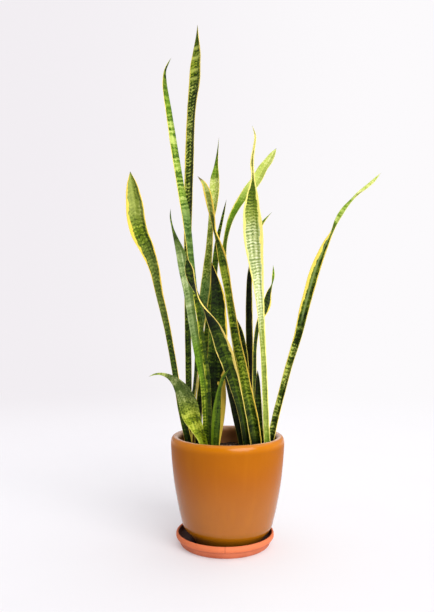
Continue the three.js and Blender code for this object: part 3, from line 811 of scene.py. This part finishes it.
def pot_material():
    """A thick amber glaze, brown at the foot and in the mouth, with a painted highlight on the
    rim's crest, strongest at its sides. It is glossiest low down and on the lip."""
    g = Graph("amber_glaze")
    place = g.place()
    x, _, _ = g.split(place)
    _, height, past_rim = g.split(g.attribute("turned_ways"))
    clouds = g.noise(place, 9.0, 3.0)
    runs = g.noise(g.stretch(place, 60, 60, 6), detail=3.0)
    specks = g.noise(place, 420.0, 2.0)
    top = POT_HIGH.z
    # The glaze is paler and greyer towards the foot: painted reflection of the pale floor.
    glaze = g.layered(linear(168, 100, 34), (
        (g.step(height, POT_FOOT_Z, 0.8 * top), (167, 90, 0)),
        (g.step(height, top - 0.09, top - 0.03), (171, 95, 0)),
        (g.step(height, top - 0.022, top - 0.006), (204, 120, 0)),
        (g.step(clouds, 0.35, 0.7, 0, 0.22), (148, 78, 2)),
        (g.step(runs, 0.45, 0.75, 0, 0.15), (186, 112, 12)),
        (g.step(specks, 0.66, 0.74, 0, 0.25), (110, 60, 8)),
        (g.step(height, POT_FOOT_Z + 0.006, POT_FOOT_Z - 0.006), (158, 94, 8)),
    ))
    mouth = g.mix(clouds, linear(176, 118, 74), linear(134, 90, 54))
    inside = g.step(past_rim, 0.001, 0.006)
    glaze = g.mix(inside, glaze, mouth)

    # The rim's crest has a painted pale highlight, strongest at the sides.
    off_middle = g.math("ABSOLUTE", g.math("SUBTRACT", x, POT_AXIS.x))
    rim_highlight = g.product(
        g.step(past_rim, -0.004, 0.001),
        g.step(past_rim, 0.018, 0.008),
        g.step(runs, 0.3, 0.6, 0.55, 1.0),
        g.step(off_middle, 0.03, 0.1, 0.25, 1),
    )
    glaze = g.mix(rim_highlight, glaze, linear(238, 198, 172))

    g.bump(g.math("MULTIPLY_ADD", specks, 0.05, clouds), 0.002, 0.25)
    rough = g.math("MULTIPLY_ADD", inside, 0.1, g.step(clouds, 0.3, 0.7, 0.34, 0.44))
    shine = g.step(height, 0.09, top - 0.02, 1.0, 0.3)
    shine = g.math("ADD", shine, g.step(height, top - 0.016, top - 0.006, 0.0, 0.7))
    return g.finish(glaze, rough, specular=0.0, coat=shine)


def saucer_material():
    """Orange clay with fine pores and pale bloom, a lip band painted lighter as if lit from above,
    and a near-black bed with pale specks inside the rim, where the pot stands.
    """
    g = Graph("terracotta")
    place = g.place()
    x, y, _ = g.split(place)
    _, height, past_rim = g.split(g.attribute("turned_ways"))
    clouds = g.noise(place, 22.0, 4.0)
    pores = g.noise(place, 700.0, 2.0)
    rings = g.noise(g.stretch(place, 6, 6, 500), detail=2.0)
    clay = g.mix(g.step(clouds, 0.3, 0.7), linear(184, 92, 58), linear(202, 110, 74))
    # Painted light: the lip band is lighter than the lower wall, as if lit more from above.
    lip = g.step(height, SAUCER_LIP_Z - 0.001, SAUCER_LIP_Z + 0.001)
    clay = g.mix(lip, clay, g.mix(clouds, linear(214, 110, 64), linear(226, 124, 78)))
    from_seam = g.math("ABSOLUTE", g.math("SUBTRACT", x, SAUCER_SEAM_X))
    seam = g.product(g.step(from_seam, 0.0016, 0.0006), g.step(y, -0.08, -0.10), lip, 0.4)
    clay = g.layered(clay, (
        (g.step(rings, 0.45, 0.7, 0, 0.3), (224, 134, 92)),
        (g.step(pores, 0.6, 0.75, 0, 0.5), (136, 60, 34)),
        (seam, (150, 58, 32)),
    ))
    # Past the rim the bed is near black, with pale specks.
    dark_bed = g.mix(clouds, linear(26, 22, 26), linear(50, 34, 28))
    dark_bed = g.mix(g.step(pores, 0.58, 0.66), dark_bed, linear(104, 92, 98))
    clay = g.mix(g.step(past_rim, 0.003, 0.006, 0, 0.92), clay, dark_bed)
    g.bump(g.math("MULTIPLY_ADD", pores, 0.25, rings), 0.0006, 0.6)
    return g.finish(clay, g.step(pores, 0.3, 0.7, 0.62, 0.8), specular=0.35)


# ---------------------------------------------------------------- soil
SOIL_RADIUS = (SOIL_HIGH.x - SOIL_LOW.x) / 2
SOIL_MOUND = 0.003  # how far the soil's middle stands above its edge
SOIL_EDGE_Z = SOIL_HIGH.z - SOIL_MOUND
SOIL_LUMPS = ((0.022, 0.0022), (0.007, 0.0016), (0.003, 0.0011))  # their sizes and heights
SOIL_SINK = 0.002  # how far the lumpy top lies below the CAD soil's
SOIL_CLEARANCE = 0.0003  # between the soil and the pot
SOIL_SHOULDER = 0.004  # how far below its edge the soil's side ends
SOIL_FLOOR_RADIUS = 0.03  # the soil's underside is flat within this, over the drain hole
SOIL_SEGMENTS = 240
SOIL_RINGS = 80
CRUMBS = 1500
CRUMB_SEED = 11
CRUMB_SIZE = 0.0008  # the smallest radius
CRUMB_SPREAD = 0.0022  # how much larger the largest is
CRUMB_INSET = 0.006  # from the soil's edge to the outermost crumbs


def soil_material():
    """Dark soil with crumbs in two browns and fine black grains."""
    g = Graph("potting_soil")
    place = g.place()
    crumbs, _, _ = g.split(g.add("TexVoronoi", {"Vector": place, "Scale": 190.0}, "Color"))
    clouds = g.noise(place, 40.0, 4.0)
    fine = g.noise(place, 600.0, 3.0)
    colour = g.layered(linear(40, 27, 18), (
        (g.step(clouds, 0.3, 0.7), (74, 52, 36)),
        (g.step(crumbs, 0.8, 0.95, 0, 0.6), (120, 92, 64)),
        (g.step(fine, 0.45, 0.75, 0, 0.5), (22, 14, 9)),
    ))
    g.bump(g.math("ADD", fine, clouds), 0.002, 0.8)
    return g.finish(colour, g.step(fine, 0.3, 0.7, 0.8, 0.95), specular=0.3)


def crumb_material():
    """Peat, bark and perlite, told apart by each crumb's own tint."""
    g = Graph("soil_crumbs")
    tint, _, _ = g.split(g.attribute("crumb_tint"))
    grain = g.noise(g.place(), 900.0, 3.0)
    colour = g.layered(linear(44, 30, 20), (
        (g.step(tint, 0.5, 0.8), (112, 78, 48)),
        (g.step(tint, 0.955, 0.965), (206, 198, 184)),
        (g.step(grain, 0.35, 0.7, 0, 0.5), (30, 20, 13)),
    ))
    g.bump(grain, 0.0006, 0.7)
    return g.finish(colour, g.step(grain, 0.3, 0.7, 0.75, 0.92), specular=0.3)


def rhizome_material():
    """Brown, woody skin for the buried stems, which keep their CAD shape."""
    g = Graph("rhizome_skin")
    rings = g.noise(g.stretch(g.place(), 90, 90, 90), detail=3.0)
    colour = g.mix(rings, linear(196, 150, 92), linear(150, 104, 58))
    g.bump(rings, 0.001)
    return g.finish(colour, g.step(rings, 0.3, 0.7, 0.6, 0.8))


def soil_top(x, y):
    """The soil's height above its edge, with lumps."""
    mound = SOIL_MOUND * (1 - (math.hypot(x, y) / SOIL_RADIUS) ** 2)
    lumps = sum(
        height * noise.noise(Vector((x / size, y / size, size))) for size, height in SOIL_LUMPS
    )
    return mound + lumps - SOIL_SINK


def build_soil():
    """The soil, whose sides follow the pot's inside and whose top is uneven."""
    wall = profile_of("pot", POT_AXIS)
    inner = wall[wall[:, 1].argmax() + 1:]
    inner = inner[(inner[:, 1] < SOIL_EDGE_Z) & (inner[:, 0] > SOIL_FLOOR_RADIUS)][::-1]
    inner[:, 0] -= SOIL_CLEARANCE
    inner[0, 1] += SOIL_CLEARANCE
    edge = SOIL_RADIUS - SOIL_CLEARANCE
    side = np.vstack([[0, inner[0, 1]], inner, [edge, SOIL_EDGE_Z - SOIL_SHOULDER]])
    top = np.linspace(edge, 0, SOIL_RINGS)
    angles = np.linspace(0, 2 * math.pi, SOIL_SEGMENTS, endpoint=False)
    points = []
    for radius, height in side:
        points += [(radius * math.cos(a), radius * math.sin(a), height) for a in angles]
    for radius in top:
        for angle in angles:
            x, y = radius * math.cos(angle), radius * math.sin(angle)
            points.append((x, y, SOIL_EDGE_Z + soil_top(x, y)))
    points = np.array(points) + np.array([POT_AXIS.x, POT_AXIS.y, 0])
    faces = tube_faces(len(side) + len(top), SOIL_SEGMENTS)
    tidy(mesh_piece("soil_body", points, faces, "soil", soil_material()))


def build_crumbs():
    """Bark chips, roots' clods and a few pale grains of perlite, half sunk in the soil."""
    rng = np.random.default_rng(CRUMB_SEED)
    bm = bmesh.new()
    tints = []
    for _ in range(CRUMBS):
        radius = (SOIL_RADIUS - CRUMB_INSET) * math.sqrt(rng.random())
        angle = 2 * math.pi * rng.random()
        x, y = radius * math.cos(angle), radius * math.sin(angle)
        size = CRUMB_SIZE + CRUMB_SPREAD * rng.random() ** 2
        made = bmesh.ops.create_icosphere(bm, subdivisions=1, radius=size)["verts"]
        squash = Vector((1 + 0.8 * rng.random(), 1, 0.45 + 0.4 * rng.random()))
        turn = Matrix.Rotation(2 * math.pi * rng.random(), 3, "Z")
        centre = Vector((POT_AXIS.x + x, POT_AXIS.y + y, SOIL_EDGE_Z + soil_top(x, y)))
        for vertex in made:
            uneven = 0.75 + 0.5 * rng.random()
            vertex.co = turn @ (vertex.co * uneven * squash) + centre
        tints += [rng.random()] * len(made)
    piece = drawn_piece("soil_crumbs", bm, crumb_material())
    give(piece, "crumb_tint", [(tint, 0, 0) for tint in tints])
    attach(piece, "root")


def colour_rhizomes():
    """Gives the rhizomes' CAD nodes their material."""
    skin = rhizome_material()
    for name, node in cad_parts.items():
        if name.startswith("rhizome"):
            node.data.materials.clear()
            node.data.materials.append(skin)


# ---------------------------------------------------------------- floor, light and camera
FLOOR_RADIUS = 12.0
BACKDROP_RADIUS = 1.1 * FLOOR_RADIUS
DARK_SIDE, BRIGHT_SIDE = 0.14, 0.5  # strength of the light from the front and from elsewhere
PHOTO_HEIGHT = 612  # pixels
FOCAL_LENGTH = 634  # pixels
CAMERA_PLACE = (-0.018, -1.450, 0.521)
CAMERA_TILT = 90.7  # degrees from straight down


def pale_glow(g):
    """A soft near-white, a little brighter to the right, alike on the floor and behind it."""
    aim = g.add("VectorMath", {0: g.place()}, operation="NORMALIZE")
    across, _, _ = g.split(aim)
    colour = g.mix(g.step(across, -0.35, 0.3), linear(242, 238, 242), linear(252, 250, 252))
    return g.add("Emission", {"Color": colour, "Strength": 1.0})


def floor_material():
    """Pale paper that fades into the backdrop's colour far from the plant."""
    g = Graph("pale_floor")
    x, y, _ = g.split(g.place())
    radius = g.add("VectorMath", {0: g.join(x, y, 0.0)}, output=1, operation="LENGTH")
    clouds = g.noise(g.place(), 3.0, 4.0)
    g.finish(g.mix(clouds, linear(243, 242, 244), linear(238, 237, 240)), 0.9, specular=0.1)
    inputs = {0: g.step(radius, 0.7, 3.0, 0.3, 1.0), 1: g.shader.outputs[0], 2: pale_glow(g)}
    g.feed(g.tree.nodes["Material Output"].inputs["Surface"], g.add("MixShader", inputs))
    return g.material


def backdrop_material():
    """Nothing but the glow."""
    g = Graph("pale_backdrop")
    g.feed(g.tree.nodes["Material Output"].inputs["Surface"], pale_glow(g))
    return g.material


def build_floor():
    """A wide, round, pale floor."""
    bm = bmesh.new()
    bmesh.ops.create_circle(bm, cap_ends=True, segments=96, radius=FLOOR_RADIUS)
    return drawn_piece("floor", bm, floor_material())


def build_backdrop():
    """A pale dome all around, which the camera sees and which lights nothing."""
    bm = bmesh.new()
    bmesh.ops.create_icosphere(bm, subdivisions=4, radius=BACKDROP_RADIUS)
    dome = drawn_piece("backdrop", bm, backdrop_material())
    for kind in ("diffuse", "glossy", "transmission", "shadow", "volume_scatter"):
        setattr(dome, "visible_" + kind, False)
    return dome


def far_lamp(name, azimuth, elevation, width, strength):
    """A distant round lamp. Its azimuth counts from the front to the right, and its width is the
    angle that it fills in the sky, all in degrees."""
    light = bpy.data.lights.new(name, "SUN")
    light.angle = math.radians(width)
    light.energy = strength
    holder = add_object(name, light)
    holder.rotation_euler = (math.radians(90 - elevation), 0, math.radians(azimuth))


def build_world():
    """Soft light from all around, weaker from the dark side of the room, which is in front."""
    world = bpy.data.worlds.new("studio")
    world.use_nodes = True
    nodes, links = world.node_tree.nodes, world.node_tree.links
    direction = nodes.new("ShaderNodeTexCoord")
    parts = nodes.new("ShaderNodeSeparateXYZ")
    ease = nodes.new("ShaderNodeMapRange")
    ease.interpolation_type = "SMOOTHSTEP"
    limits = {"From Min": -0.9, "From Max": 0.1, "To Min": DARK_SIDE, "To Max": BRIGHT_SIDE}
    for socket, value in limits.items():
        ease.inputs[socket].default_value = value
    links.new(direction.outputs["Generated"], parts.inputs[0])
    links.new(parts.outputs["Y"], ease.inputs[0])
    links.new(ease.outputs[0], nodes["Background"].inputs["Strength"])
    nodes["Background"].inputs["Color"].default_value = linear(246, 243, 248)
    return world


def build_camera():
    """The camera, placed and aimed as the photograph's was."""
    lens = bpy.data.cameras.new("camera")
    lens.lens = lens.sensor_width * FOCAL_LENGTH / PHOTO_HEIGHT
    camera = add_object("camera", lens)
    camera.location = CAMERA_PLACE
    camera.rotation_euler = (math.radians(CAMERA_TILT), 0, 0)
    return camera


# ---------------------------------------------------------------- the whole scene
for number, leaf in enumerate(LEAF_LOOKS):
    build_leaf(leaf, number)
build_turned("pot", POT_AXIS, pot_material(), closed=True)
build_turned("saucer", SAUCER_AXIS, saucer_material(), closed=False)
build_soil()
build_crumbs()
colour_rhizomes()

build_floor()
build_backdrop()
far_lamp("key", azimuth=30, elevation=25, width=50, strength=2.95)
far_lamp("top", azimuth=100, elevation=78, width=90, strength=1.3)
bpy.context.scene.world = build_world()
bpy.context.scene.view_settings.view_transform = "Standard"
bpy.context.scene.camera = build_camera()
